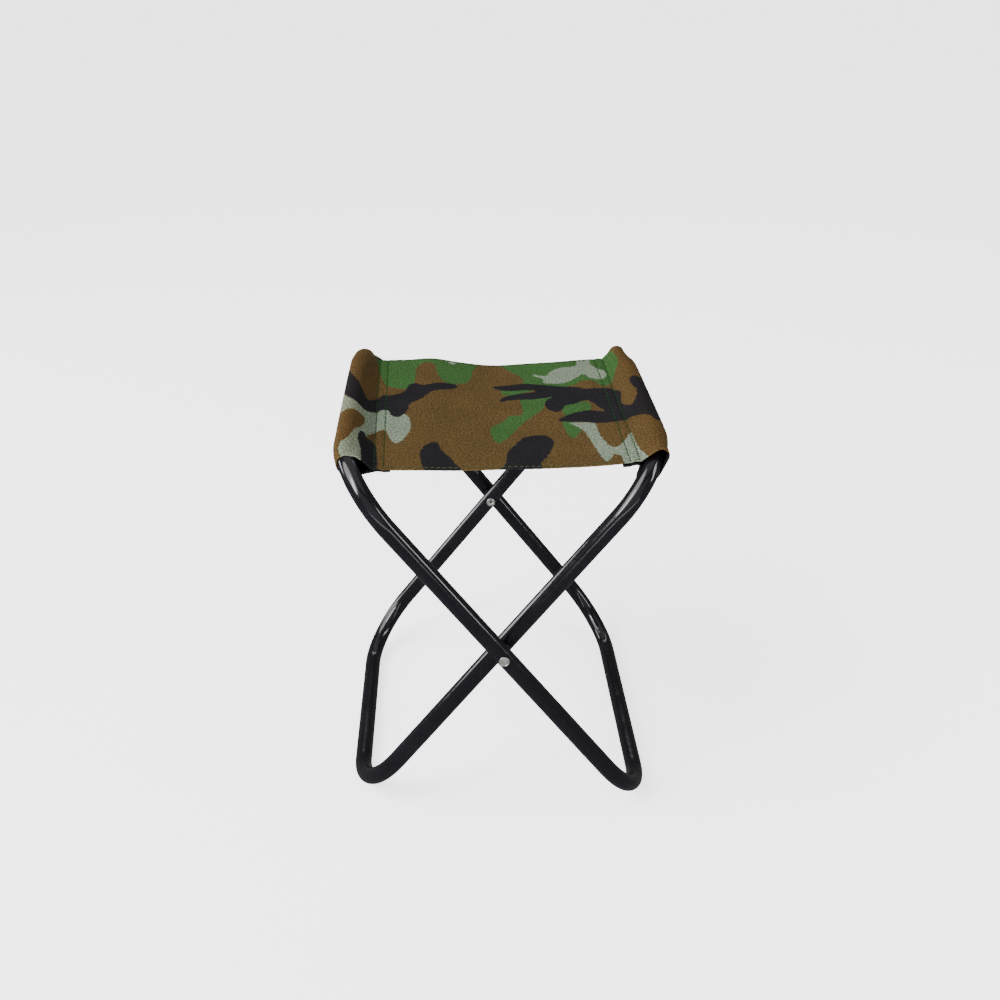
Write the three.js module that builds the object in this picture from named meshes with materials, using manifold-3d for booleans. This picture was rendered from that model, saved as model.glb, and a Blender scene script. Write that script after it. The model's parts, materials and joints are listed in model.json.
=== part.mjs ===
// Folding camp stool: two closed loops of bent steel tube cross as scissors on two
// rivets, and a camouflage cloth seat hangs between their top rails.
//
// Millimetres, +Z up. The origin is on the floor under the middle of the open stool,
// X runs from one floor bar to the other and Y along the fold axis.

import * as THREE from "three";
import { mergeVertices } from "three/addons/utils/BufferGeometryUtils.js";
import Module from "manifold-3d";

const wasm = await Module();
wasm.setup();

// ---- driving dimensions ------------------------------------------------------------

const FRAME_HEIGHT = 338; // floor to the top of the bare top rails
const OPEN_TILT = THREE.MathUtils.degToRad(37.5); // each loop from the vertical
const TUBE_R = 7.5;
const TUBE_WALL = 0.8;
const TUBE_SIDES = 24;
const BEND_R = 57.5; // to the tube's centreline
const BEND_STEPS = 8;
const OUTER_HALF_DEPTH = 150; // fold axis position of the outer loop's legs
const TUBE_GAP = 1.5; // between the outer and the inner legs at the rivets
const BUTT_GAP = 0.6; // between one loop's two ends, inside its sleeve

const PLUG_LENGTH = 70;
const FIT_GAP = 0.3; // between pieces that touch on the real stool

const SHANK_R = 3;
const HOLE_R = SHANK_R + FIT_GAP;
const HEAD_R = 4.7;
const HEAD_RIM = 0.7;
const HEAD_DOME = 1.1;
const TAIL_R = 4.5;
const TAIL_LENGTH = 1.8;
const WASHER_R = 6;
const WASHER_THICKNESS = 0.7;
const ROUND_SIDES = 24;

const SEAT_HALF_DEPTH = 117.5;
const SLEEVE_INNER_R = 8.1;
const SLEEVE_CLOTH = 1.2;
const CLOTH = 1.2;
const PANEL_EDGE = { x: 112.9, z: 328 }; // where the panel meets the sleeve
const SEAM_OUTER = { x: 105, z: 322.5 };
const SEAM_INNER = { x: 96, z: 321 };
const PANEL_LOW = { x: 45, z: 318.5 };
const FLAP_TIP_X = 92;
const HEM_WIDTH = 8;
const HEM_CLOTH = 1;
const THREAD = 0.6;
const HEM_THREAD_INSET = 3;

// ---- values worked out from them ---------------------------------------------------

const PIVOT_Z = FRAME_HEIGHT / 2;
const HALF_LENGTH = (PIVOT_Z - TUBE_R) / Math.cos(OPEN_TILT); // pivot to a rail's axis
const INNER_HALF_DEPTH = OUTER_HALF_DEPTH - 2 * TUBE_R - TUBE_GAP;
const TUBE_CORNER_R = cornerRadius(TUBE_R, TUBE_SIDES);
const SLEEVE_OUTER_R = SLEEVE_INNER_R + SLEEVE_CLOTH;

// ---- materials ---------------------------------------------------------------------

const paint = { color: 0x0b0b0d, roughness: 0.22, metalness: 0 };
const bareSteel = { color: 0x7c7d7e, roughness: 0.4, metalness: 1 };
const rivetSteel = { color: 0xb9b5ab, roughness: 0.35, metalness: 1 };
const nylon = { color: 0x1c1c1e, roughness: 0.6, metalness: 0 };
const camouflage = { color: 0x6b4a28, roughness: 0.9, metalness: 0 };
const greenThread = { color: 0x2f6b3a, roughness: 0.8, metalness: 0 };

// ---- helpers -----------------------------------------------------------------------

// Corner radius of a polygon whose flat sides lie at the given radius.
function cornerRadius(flatRadius, sides) {
  return flatRadius / Math.cos(Math.PI / sides);
}

function polygon(target, radius, sides) {
  for (let i = 0; i < sides; i += 1) {
    const angle = (2 * Math.PI * i) / sides;
    const x = radius * Math.cos(angle);
    const y = radius * Math.sin(angle);
    if (i === 0) {
      target.moveTo(x, y);
    } else {
      target.lineTo(x, y);
    }
  }
  target.closePath();
  return target;
}

function ringSection(outerRadius, innerRadius, sides) {
  const section = polygon(new THREE.Shape(), cornerRadius(outerRadius, sides), sides);
  section.holes.push(polygon(new THREE.Path(), cornerRadius(innerRadius, sides), sides));
  return section;
}

function toSolid(geometry) {
  const bare = geometry.clone();
  bare.deleteAttribute("normal");
  bare.deleteAttribute("uv");
  const merged = mergeVertices(bare, 1e-4);
  return new wasm.Manifold(
    new wasm.Mesh({
      numProp: 3,
      vertProperties: new Float32Array(merged.attributes.position.array),
      triVerts: new Uint32Array(merged.index.array),
    }),
  );
}

function toGeometry(solid) {
  const mesh = solid.getMesh();
  const geometry = new THREE.BufferGeometry();
  geometry.setAttribute("position", new THREE.BufferAttribute(mesh.vertProperties, 3));
  geometry.setIndex(new THREE.BufferAttribute(mesh.triVerts, 1));
  geometry.computeVertexNormals();
  return geometry;
}

// A path given by stations, so that the steps of a sweep fall where the tube bends.
class StationPath extends THREE.Curve {
  constructor(stations) {
    super();
    this.stations = stations;
  }

  station(u) {
    return this.stations[Math.round(u * (this.stations.length - 1))];
  }

  getPointAt(u, target = new THREE.Vector3()) {
    return target.copy(this.station(u).point);
  }

  getTangentAt(u, target = new THREE.Vector3()) {
    return target.copy(this.station(u).tangent);
  }
}

function sweep(section, stations) {
  return new THREE.ExtrudeGeometry(section, {
    extrudePath: new StationPath(stations),
    steps: stations.length - 1,
    curveSegments: 1,
  });
}

// Station on a bend in the YZ plane. The angle runs from +Z towards +Y.
function bendStation(centreY, centreZ, angle) {
  const outward = new THREE.Vector3(0, Math.sin(angle), Math.cos(angle));
  return {
    point: new THREE.Vector3(0, centreY, centreZ).addScaledVector(outward, BEND_R),
    tangent: new THREE.Vector3(0, Math.cos(angle), -Math.sin(angle)),
  };
}

// A quarter bend from startAngle on, going from +Z towards +Y and on round.
function quarterBend(centreY, centreZ, startAngle) {
  const stations = [];
  for (let i = 0; i <= BEND_STEPS; i += 1) {
    const angle = startAngle + (Math.PI / 2) * (i / BEND_STEPS);
    stations.push(bendStation(centreY, centreZ, angle));
  }
  return stations;
}

// A whole tube loop in its own plane, from one butt end in the top rail to the other.
function loopStations(halfDepth) {
  const bendY = halfDepth - BEND_R;
  const bendZ = HALF_LENGTH - BEND_R;
  const along = new THREE.Vector3(0, 1, 0);
  return [
    { point: new THREE.Vector3(0, BUTT_GAP / 2, HALF_LENGTH), tangent: along },
    ...quarterBend(bendY, bendZ, 0),
    ...quarterBend(bendY, -bendZ, Math.PI / 2),
    ...quarterBend(-bendY, -bendZ, Math.PI),
    ...quarterBend(-bendY, bendZ, 1.5 * Math.PI),
    { point: new THREE.Vector3(0, -BUTT_GAP / 2, HALF_LENGTH), tangent: along },
  ];
}

// The stretch of a loop along its top rail and into both bends.
function topRailStations(halfDepth) {
  const bendY = halfDepth - BEND_R;
  const bendZ = HALF_LENGTH - BEND_R;
  return [
    ...quarterBend(-bendY, bendZ, 1.5 * Math.PI),
    ...quarterBend(bendY, bendZ, 0),
  ];
}

function cylinderAlongY(radius, length, sides) {
  return new THREE.CylinderGeometry(radius, radius, length, sides);
}

// A flat outline in X and Z drawn out along Y, centred on y = 0.
function extrudeAlongY(outline, depth) {
  const geometry = new THREE.ExtrudeGeometry(outline, { depth, bevelEnabled: false });
  geometry.translate(0, 0, -depth / 2);
  geometry.rotateX(Math.PI / 2);
  return geometry;
}

// A strip that follows a line of points from left to right, with its top on the line.
function strip(points, thickness) {
  const lower = points.map(({ x, z }) => new THREE.Vector2(x, z - thickness)).reverse();
  const upper = points.map(({ x, z }) => new THREE.Vector2(x, z));
  return new THREE.Shape([...upper, ...lower].reverse());
}

function lowered(points, drop) {
  return points.map(({ x, z }) => ({ x, z: z - drop }));
}

function mirrored({ x, z }) {
  return { x: -x, z };
}

function piece(name, geometry, look) {
  const mesh = new THREE.Mesh(geometry, new THREE.MeshStandardMaterial(look));
  mesh.name = name;
  return mesh;
}

// ---- frame -------------------------------------------------------------------------

function loopTube(halfDepth) {
  const section = ringSection(TUBE_R, TUBE_R - TUBE_WALL, TUBE_SIDES);
  const tube = toSolid(sweep(section, loopStations(halfDepth)));
  const drillLength = 2 * (halfDepth + 2 * TUBE_R);
  const drill = toSolid(cylinderAlongY(cornerRadius(HOLE_R, ROUND_SIDES), drillLength, ROUND_SIDES));
  return toGeometry(tube.subtract(drill));
}

// Plug inside the butt joint of a top rail.
function buttPlug() {
  const radius = TUBE_R - TUBE_WALL - FIT_GAP;
  const plug = cylinderAlongY(radius, PLUG_LENGTH, ROUND_SIDES);
  plug.translate(0, 0, HALF_LENGTH);
  return plug;
}

// Cloth round a top rail, cut off square at the seat's front and rear.
function railSleeve(halfDepth) {
  const section = ringSection(SLEEVE_OUTER_R, SLEEVE_INNER_R, TUBE_SIDES);
  const whole = toSolid(sweep(section, topRailStations(halfDepth)));
  const reach = 4 * HALF_LENGTH;
  const seatDepth = toSolid(new THREE.BoxGeometry(reach, 2 * SEAT_HALF_DEPTH, reach));
  return toGeometry(whole.intersect(seatDepth));
}

// ---- rivets ------------------------------------------------------------------------

// Rivet on the +Y side: domed head outside the outer leg, rolled tail inside the inner.
function rivet() {
  const headSeat = OUTER_HALF_DEPTH + TUBE_CORNER_R + FIT_GAP;
  const tailSeat = INNER_HALF_DEPTH - TUBE_CORNER_R - FIT_GAP;
  const profile = [
    new THREE.Vector2(0, tailSeat - 0.4 * TAIL_LENGTH),
    new THREE.Vector2(0.4 * TAIL_R, tailSeat - TAIL_LENGTH),
    new THREE.Vector2(0.7 * TAIL_R, tailSeat - TAIL_LENGTH),
    new THREE.Vector2(TAIL_R, tailSeat - 0.5 * TAIL_LENGTH),
    new THREE.Vector2(0.9 * TAIL_R, tailSeat),
    new THREE.Vector2(SHANK_R, tailSeat),
    new THREE.Vector2(SHANK_R, headSeat),
    new THREE.Vector2(HEAD_R, headSeat),
    new THREE.Vector2(HEAD_R, headSeat + HEAD_RIM),
    new THREE.Vector2(0.72 * HEAD_R, headSeat + HEAD_RIM + 0.7 * HEAD_DOME),
    new THREE.Vector2(0, headSeat + HEAD_RIM + HEAD_DOME),
  ];
  return new THREE.LatheGeometry(profile, ROUND_SIDES);
}

function spacerWasher() {
  const middle = OUTER_HALF_DEPTH - TUBE_R - TUBE_GAP / 2;
  const near = middle - WASHER_THICKNESS / 2;
  const far = middle + WASHER_THICKNESS / 2;
  const profile = [
    new THREE.Vector2(HOLE_R, near),
    new THREE.Vector2(WASHER_R, near),
    new THREE.Vector2(WASHER_R, far),
    new THREE.Vector2(HOLE_R, far),
    new THREE.Vector2(HOLE_R, near),
  ];
  return new THREE.LatheGeometry(profile, ROUND_SIDES);
}

// ---- seat --------------------------------------------------------------------------

const panelLine = [
  mirrored(PANEL_EDGE),
  mirrored(SEAM_OUTER),
  mirrored(SEAM_INNER),
  mirrored(PANEL_LOW),
  PANEL_LOW,
  SEAM_INNER,
  SEAM_OUTER,
  PANEL_EDGE,
];

// The room that a rail and its sleeve take up, bends included.
function railRoom(halfDepth, tilt) {
  const section = polygon(new THREE.Shape(), SLEEVE_OUTER_R + 2 * FIT_GAP, TUBE_SIDES);
  const room = sweep(section, topRailStations(halfDepth));
  room.rotateY(tilt);
  room.translate(0, 0, PIVOT_Z);
  return toSolid(room);
}

const bothRails = railRoom(OUTER_HALF_DEPTH, -OPEN_TILT).add(
  railRoom(INNER_HALF_DEPTH, OPEN_TILT),
);

// Cuts a seat piece clear of the rails and drops the slivers left beyond the cut.
function clearOfRails(geometry) {
  const parts = toSolid(geometry).subtract(bothRails).decompose();
  parts.sort((a, b) => b.volume() - a.volume());
  return toGeometry(parts[0]);
}

// The panel's sagging line between two points at the same distance from the middle.
function sagLine(halfLength) {
  const slope = (SEAM_INNER.z - PANEL_LOW.z) / (SEAM_INNER.x - PANEL_LOW.x);
  const end = { x: halfLength, z: PANEL_LOW.z + slope * (halfLength - PANEL_LOW.x) };
  return [mirrored(end), mirrored(PANEL_LOW), PANEL_LOW, end];
}

// Furrow that a hem's stitching pulls into the cloth.
function hemFurrow(end) {
  const depth = THREAD + FIT_GAP;
  const line = sagLine(SEAM_INNER.x - HEM_THREAD_INSET + FIT_GAP);
  const furrow = extrudeAlongY(strip(lowered(line, -depth), 2 * depth), THREAD + 2 * FIT_GAP);
  furrow.translate(0, end * (SEAT_HALF_DEPTH - HEM_THREAD_INSET), 0);
  return toSolid(furrow);
}

function seatPanel() {
  const cloth = toSolid(extrudeAlongY(strip(panelLine, CLOTH), 2 * SEAT_HALF_DEPTH));
  const furrows = hemFurrow(-1).add(hemFurrow(1));
  return clearOfRails(toGeometry(cloth.subtract(furrows)));
}

// The end of the cloth, brought back under the rail and sewn beneath the panel.
function seamFlap(side) {
  const tip = sagLine(FLAP_TIP_X).at(-1);
  const mouth = { x: PANEL_EDGE.x + 1.5, z: SEAM_OUTER.z - CLOTH };
  const line = [tip, SEAM_INNER, SEAM_OUTER, mouth];
  const points = side < 0 ? line.map(mirrored).reverse() : line;
  const outline = strip(lowered(points, CLOTH + FIT_GAP), CLOTH);
  return clearOfRails(extrudeAlongY(outline, 2 * SEAT_HALF_DEPTH));
}

// Front or rear edge of the panel, folded under between the two seam flaps.
function hem(end) {
  const line = lowered(sagLine(FLAP_TIP_X - HEM_THREAD_INSET), CLOTH + FIT_GAP);
  const fold = extrudeAlongY(strip(line, HEM_CLOTH), HEM_WIDTH);
  fold.translate(0, end * (SEAT_HALF_DEPTH - HEM_WIDTH / 2), 0);
  return fold;
}

// One of the two rows of stitching that close a sleeve.
function seamThread(row, side) {
  const height = row.z + FIT_GAP + THREAD;
  const thread = new THREE.BoxGeometry(THREAD, 2 * SEAT_HALF_DEPTH - 1, THREAD);
  thread.translate(side * row.x, 0, height);
  return clearOfRails(thread);
}

function hemThread(end) {
  const line = sagLine(SEAM_INNER.x - HEM_THREAD_INSET);
  const thread = extrudeAlongY(strip(line, THREAD), THREAD);
  thread.translate(0, end * (SEAT_HALF_DEPTH - HEM_THREAD_INSET), 0);
  return thread;
}

// ---- assembly ----------------------------------------------------------------------

const outerLoop = new THREE.Group();
outerLoop.position.z = PIVOT_Z;
outerLoop.rotation.y = -OPEN_TILT;
outerLoop.add(piece("outer_frame_tube", loopTube(OUTER_HALF_DEPTH), paint));
outerLoop.add(piece("outer_butt_plug", buttPlug(), bareSteel));
outerLoop.add(piece("left_sleeve", railSleeve(OUTER_HALF_DEPTH), camouflage));

const innerLoop = new THREE.Group();
innerLoop.position.z = PIVOT_Z;
innerLoop.rotation.y = OPEN_TILT;
innerLoop.add(piece("inner_frame_tube", loopTube(INNER_HALF_DEPTH), paint));
innerLoop.add(piece("inner_butt_plug", buttPlug(), bareSteel));
innerLoop.add(piece("right_sleeve", railSleeve(INNER_HALF_DEPTH), camouflage));

const foldAxis = new THREE.Group();
foldAxis.position.z = PIVOT_Z;
for (const [name, turn] of [["front", Math.PI], ["rear", 0]]) {
  const side = new THREE.Group();
  side.rotation.z = turn;
  side.add(piece(`${name}_rivet`, rivet(), rivetSteel));
  side.add(piece(`${name}_spacer_washer`, spacerWasher(), nylon));
  foldAxis.add(side);
}

const seat = new THREE.Group();
seat.add(piece("seat_panel", seatPanel(), camouflage));
for (const [name, side] of [["left", -1], ["right", 1]]) {
  seat.add(piece(`${name}_seam_flap`, seamFlap(side), camouflage));
  seat.add(piece(`${name}_seam_thread_outer`, seamThread(SEAM_OUTER, side), greenThread));
  seat.add(piece(`${name}_seam_thread_inner`, seamThread(SEAM_INNER, side), greenThread));
}
for (const [name, end] of [["front", -1], ["rear", 1]]) {
  seat.add(piece(`${name}_hem`, hem(end), camouflage));
  seat.add(piece(`${name}_hem_thread`, hemThread(end), greenThread));
}

const stool = new THREE.Group();
stool.add(outerLoop, innerLoop, foldAxis, seat);

export default stool;
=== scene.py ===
# Looks of the folding camp stool: glossy black tubes, rivets, a sewn camouflage
# cloth seat and its stitching, on a pale studio floor. Metres, in the CAD frame.
import json
import math

import bpy
import numpy as np
from mathutils import Matrix, Vector


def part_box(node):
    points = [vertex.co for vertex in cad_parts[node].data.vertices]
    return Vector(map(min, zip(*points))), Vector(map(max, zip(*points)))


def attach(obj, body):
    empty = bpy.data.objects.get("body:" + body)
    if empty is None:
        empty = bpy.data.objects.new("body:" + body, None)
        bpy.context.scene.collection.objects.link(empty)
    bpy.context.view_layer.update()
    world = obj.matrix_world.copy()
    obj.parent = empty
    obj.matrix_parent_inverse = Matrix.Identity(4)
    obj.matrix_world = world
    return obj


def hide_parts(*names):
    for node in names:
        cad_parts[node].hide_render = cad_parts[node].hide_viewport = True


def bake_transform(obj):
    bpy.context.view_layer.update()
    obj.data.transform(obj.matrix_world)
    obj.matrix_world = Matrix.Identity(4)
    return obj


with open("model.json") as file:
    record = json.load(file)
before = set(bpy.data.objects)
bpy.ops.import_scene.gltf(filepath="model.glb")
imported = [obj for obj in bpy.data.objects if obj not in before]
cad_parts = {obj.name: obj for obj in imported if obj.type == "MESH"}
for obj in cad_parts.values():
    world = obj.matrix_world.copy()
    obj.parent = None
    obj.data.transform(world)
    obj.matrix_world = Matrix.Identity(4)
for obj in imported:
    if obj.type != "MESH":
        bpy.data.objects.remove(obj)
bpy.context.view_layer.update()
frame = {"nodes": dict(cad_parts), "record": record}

# ---- sizes -------------------------------------------------------------------------

MM = 0.001
OUTER, INNER = "outer_loop", "inner_loop"

TUBE_R = 7.5 * MM
BEND_R = 57.5 * MM

outer_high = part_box("outer_frame_tube")[1]
inner_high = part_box("inner_frame_tube")[1]

PIVOT = Vector(frame["record"]["behaviour"]["joints"][0]["pos_m"])
RAIL_X = outer_high[0] - TUBE_R
RAIL_Z = outer_high[2] - TUBE_R
TILT = math.atan2(RAIL_X, RAIL_Z - PIVOT.z)
HALF_LENGTH = math.hypot(RAIL_X, RAIL_Z - PIVOT.z)
HALF_DEPTH = {OUTER: outer_high[1] - TUBE_R, INNER: inner_high[1] - TUBE_R}
SEAT_HALF_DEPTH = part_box("seat_panel")[1][1]

CLOTH = 0.6 * MM
LOOP_R = 9.0 * MM           # cloth round a straight rail
LOOP_GIRTH = 74 * MM        # cloth from seam to seam round a rail
LOOP_POINTS = 64            # columns of the cloth's mesh in that stretch
RAIL_GAP = 0.7 * MM         # least gap between the cloth and a tube
SEAM_OUTER = 105 * MM
SEAM_INNER = 97.5 * MM
FLAP_TIP = 92 * MM
FLAP_DROP = 2.8 * MM        # the sewn-under end lies this far below the panel
HEM_FOLD_R = 0.65 * MM
HEM_ROW = 3 * MM            # stitching, from the cloth's edge
THREAD_R = 0.45 * MM
LOOSE_END_R = 0.16 * MM
STITCH = 3.1 * MM
STITCH_PITCH = 4.6 * MM

# ---- small tools -------------------------------------------------------------------


def smoothstep(t):
    t = np.clip(t, 0, 1)
    return t * t * (3 - 2 * t)


def bump_at(x, centre, width):
    """1 at the centre, fading to 0 some widths away."""
    return np.exp(-(((x - centre) / width) ** 2))


def mesh_object(name, points, faces, materials, face_material=None):
    mesh = bpy.data.meshes.new(name)
    mesh.from_pydata([tuple(p) for p in points], [], faces)
    for m in materials:
        mesh.materials.append(m)
    if face_material is not None:
        mesh.polygons.foreach_set("material_index", face_material)
    mesh.polygons.foreach_set("use_smooth", [True] * len(mesh.polygons))
    mesh.update()
    piece = bpy.data.objects.new(name, mesh)
    bpy.context.scene.collection.objects.link(piece)
    return piece


def tube_geometry(path, radii, sides, closed=False):
    """Points and faces of a round tube along path, with a radius at each point."""
    path = np.asarray(path, float)
    count = len(path)
    if closed:
        ahead, behind = np.roll(path, -1, 0), np.roll(path, 1, 0)
    else:
        ahead = np.vstack([path[1:], 2 * path[-1] - path[-2]])
        behind = np.vstack([2 * path[0] - path[1], path[:-1]])
    along = ahead - behind
    along /= np.linalg.norm(along, axis=1)[:, None]
    side = np.cross(along[0], (1.0, 0.0, 0.0))
    if np.linalg.norm(side) < 0.2:
        side = np.cross(along[0], (0.0, 0.0, 1.0))
    points = []
    for i in range(count):
        side = side - along[i] * (side @ along[i])
        side /= np.linalg.norm(side)
        other = np.cross(along[i], side)
        for k in range(sides):
            angle = 2 * math.pi * k / sides
            offset = side * math.cos(angle) + other * math.sin(angle)
            points.append(path[i] + offset * radii[i])
    faces = []
    for i in range(count if closed else count - 1):
        j = (i + 1) % count
        for k in range(sides):
            n = (k + 1) % sides
            faces.append((i * sides + k, i * sides + n, j * sides + n, j * sides + k))
    if not closed:
        faces.append(tuple(range(sides))[::-1])
        faces.append(tuple((count - 1) * sides + k for k in range(sides)))
    return points, faces


def joined(parts):
    """One set of points and faces from several."""
    points, faces = [], []
    for part_points, part_faces in parts:
        start = len(points)
        points.extend(part_points)
        faces.extend(tuple(i + start for i in face) for face in part_faces)
    return points, faces


def turned_geometry(profile, sides, dent=None):
    """A lathe about +Y. The profile's (radius, y) points run from axis to axis."""
    points = [(0, profile[0][1], 0)]
    for radius, y in profile[1:-1]:
        for k in range(sides):
            angle = 2 * math.pi * k / sides
            lift = dent(radius, y, angle) if dent else 0
            points.append((radius * math.sin(angle), y + lift, radius * math.cos(angle)))
    points.append((0, profile[-1][1], 0))
    faces = []
    rings = len(profile) - 2
    last = len(points) - 1
    for k in range(sides):
        n = (k + 1) % sides
        faces.append((0, 1 + n, 1 + k))
        for i in range(rings - 1):
            a, b = 1 + i * sides, 1 + (i + 1) * sides
            faces.append((a + k, a + n, b + n, b + k))
        top = 1 + (rings - 1) * sides
        faces.append((top + k, top + n, last))
    return points, faces


# ---- materials ---------------------------------------------------------------------


class Nodes:
    """Short hands for building one material's node tree."""

    def __init__(self, name):
        self.material = bpy.data.materials.new(name)
        self.material.use_nodes = True
        self.tree = self.material.node_tree
        self.tree.nodes.clear()
        self.output = self.add("ShaderNodeOutputMaterial")

    def add(self, kind, values=None, **settings):
        made = self.tree.nodes.new(kind)
        for key, value in settings.items():
            setattr(made, key, value)
        for key, value in (values or {}).items():
            if isinstance(value, bpy.types.NodeSocket):
                self.tree.links.new(value, made.inputs[key])
            else:
                made.inputs[key].default_value = value
        return made

    def math(self, operation, a, b=0.0, c=0.0):
        values = {0: a, 1: b, 2: c}
        return self.add("ShaderNodeMath", values, operation=operation).outputs[0]

    def noise(self, vector, scale, detail=2.0, roughness=0.5):
        values = {"Vector": vector, "Scale": scale, "Detail": detail, "Roughness": roughness}
        return self.add("ShaderNodeTexNoise", values).outputs["Fac"]

    def ramp(self, value, low, high, to_low=0.0, to_high=1.0, smooth=False):
        values = {0: value, 1: low, 2: high, 3: to_low, 4: to_high}
        kind = "SMOOTHSTEP" if smooth else "LINEAR"
        return self.add("ShaderNodeMapRange", values, interpolation_type=kind).outputs[0]

    def mix(self, factor, a, b, blend="MIX"):
        made = self.add("ShaderNodeMix", data_type="RGBA", blend_type=blend)
        for socket, value in zip((0, 6, 7), (factor, a, b)):
            if isinstance(value, bpy.types.NodeSocket):
                self.tree.links.new(value, made.inputs[socket])
            else:
                made.inputs[socket].default_value = value
        return made.outputs[2]

    def bump(self, height, strength, distance, normal=None):
        values = {"Height": height, "Strength": strength, "Distance": distance}
        if normal is not None:
            values["Normal"] = normal
        return self.add("ShaderNodeBump", values).outputs["Normal"]

    def surface(self, values):
        shader = self.add("ShaderNodeBsdfPrincipled", values)
        self.tree.links.new(shader.outputs[0], self.output.inputs["Surface"])
        return self.material


def object_point(nodes):
    return nodes.add("ShaderNodeTexCoord").outputs["Object"]


def gloss_paint():
    """Black stoving enamel: deep gloss, faint orange peel, dust and rubbed patches."""
    nodes = Nodes("black_gloss_paint")
    point = object_point(nodes)
    cloudy = nodes.noise(point, 38, 4, 0.6)
    dust = nodes.ramp(nodes.noise(point, 1900, 1, 0.4), 0.72, 0.84)
    rubbed = nodes.ramp(nodes.noise(point, 90, 5, 0.7), 0.56, 0.72)
    patchy = nodes.ramp(cloudy, 0.3, 0.75, 0.09, 0.18)
    roughness = nodes.math("ADD", patchy, nodes.math("MULTIPLY", rubbed, 0.08))
    roughness = nodes.math("ADD", roughness, nodes.math("MULTIPLY", dust, 0.3))
    colour = nodes.mix(cloudy, (0.0030, 0.0028, 0.0040, 1), (0.0065, 0.0060, 0.0085, 1))
    colour = nodes.mix(nodes.math("MULTIPLY", dust, 0.25), colour, (0.07, 0.066, 0.06, 1))
    peel = nodes.bump(nodes.noise(point, 110, 2, 0.4), 0.2, 0.6 * MM)
    return nodes.surface({
        "Base Color": colour, "Roughness": roughness, "Normal": peel,
        "IOR": 1.5,
    })


def satin_steel(name, base, dark, brushed):
    """Bare or plated steel with fine scratches and a little tarnish."""
    nodes = Nodes(name)
    point = object_point(nodes)
    tarnish = nodes.ramp(nodes.noise(point, 420, 4, 0.6), 0.38, 0.7)
    stretched = nodes.add("ShaderNodeMapping", {"Vector": point, "Scale": (1, 1, 14)})
    scratches = nodes.noise(stretched.outputs[0], 800, 2, 0.6)
    colour = nodes.mix(tarnish, base, dark)
    roughness = nodes.math("MULTIPLY_ADD", scratches, 0.24, brushed)
    normal = nodes.bump(scratches, 0.16, 0.1 * MM)
    return nodes.surface({
        "Base Color": colour, "Roughness": roughness, "Normal": normal, "Metallic": 0.85,
    })


def moulded_nylon():
    """Black nylon of the spacer washers."""
    nodes = Nodes("black_nylon")
    point = object_point(nodes)
    mottled = nodes.noise(point, 600, 3, 0.5)
    colour = nodes.mix(mottled, (0.012, 0.012, 0.013, 1), (0.03, 0.03, 0.032, 1))
    roughness = nodes.ramp(mottled, 0.3, 0.7, 0.45, 0.65)
    normal = nodes.bump(mottled, 0.1, 0.1 * MM)
    return nodes.surface({"Base Color": colour, "Roughness": roughness, "Normal": normal})


WEAVE_PITCH = 0.95  # millimetres between the threads of the cloth


def weave_height(nodes, cloth_point):
    """Plain weave in the cloth's own millimetres, with slubs and uneven threads."""
    wander = nodes.add("ShaderNodeTexNoise", {"Vector": cloth_point, "Scale": 0.12, "Detail": 2.0})
    shift = nodes.add("ShaderNodeVectorMath", {0: wander.outputs["Color"], 1: (1.6, 1.6, 0)},
                      operation="MULTIPLY")
    moved = nodes.add("ShaderNodeVectorMath", {0: cloth_point, 1: shift.outputs[0]},
                      operation="ADD")
    split = nodes.add("ShaderNodeSeparateXYZ", {"Vector": moved.outputs[0]})
    across = nodes.math("SINE", nodes.math("MULTIPLY", split.outputs[0], math.pi / WEAVE_PITCH))
    along = nodes.math("SINE", nodes.math("MULTIPLY", split.outputs[1], math.pi / WEAVE_PITCH))
    over = nodes.math("MULTIPLY", across, along)
    slubs = nodes.noise(cloth_point, 0.9, 3, 0.6)
    return nodes.math("MULTIPLY_ADD", over, 0.5, nodes.math("MULTIPLY", slubs, 1.1))


def print_edge(nodes, ink, wobble):
    """1 inside a printed shape and 0 outside, from its distance in millimetres."""
    distance = nodes.add("ShaderNodeAttribute", attribute_name=ink).outputs["Fac"]
    return nodes.ramp(nodes.math("ADD", distance, wobble), 0.45, -0.45, smooth=True)


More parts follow.
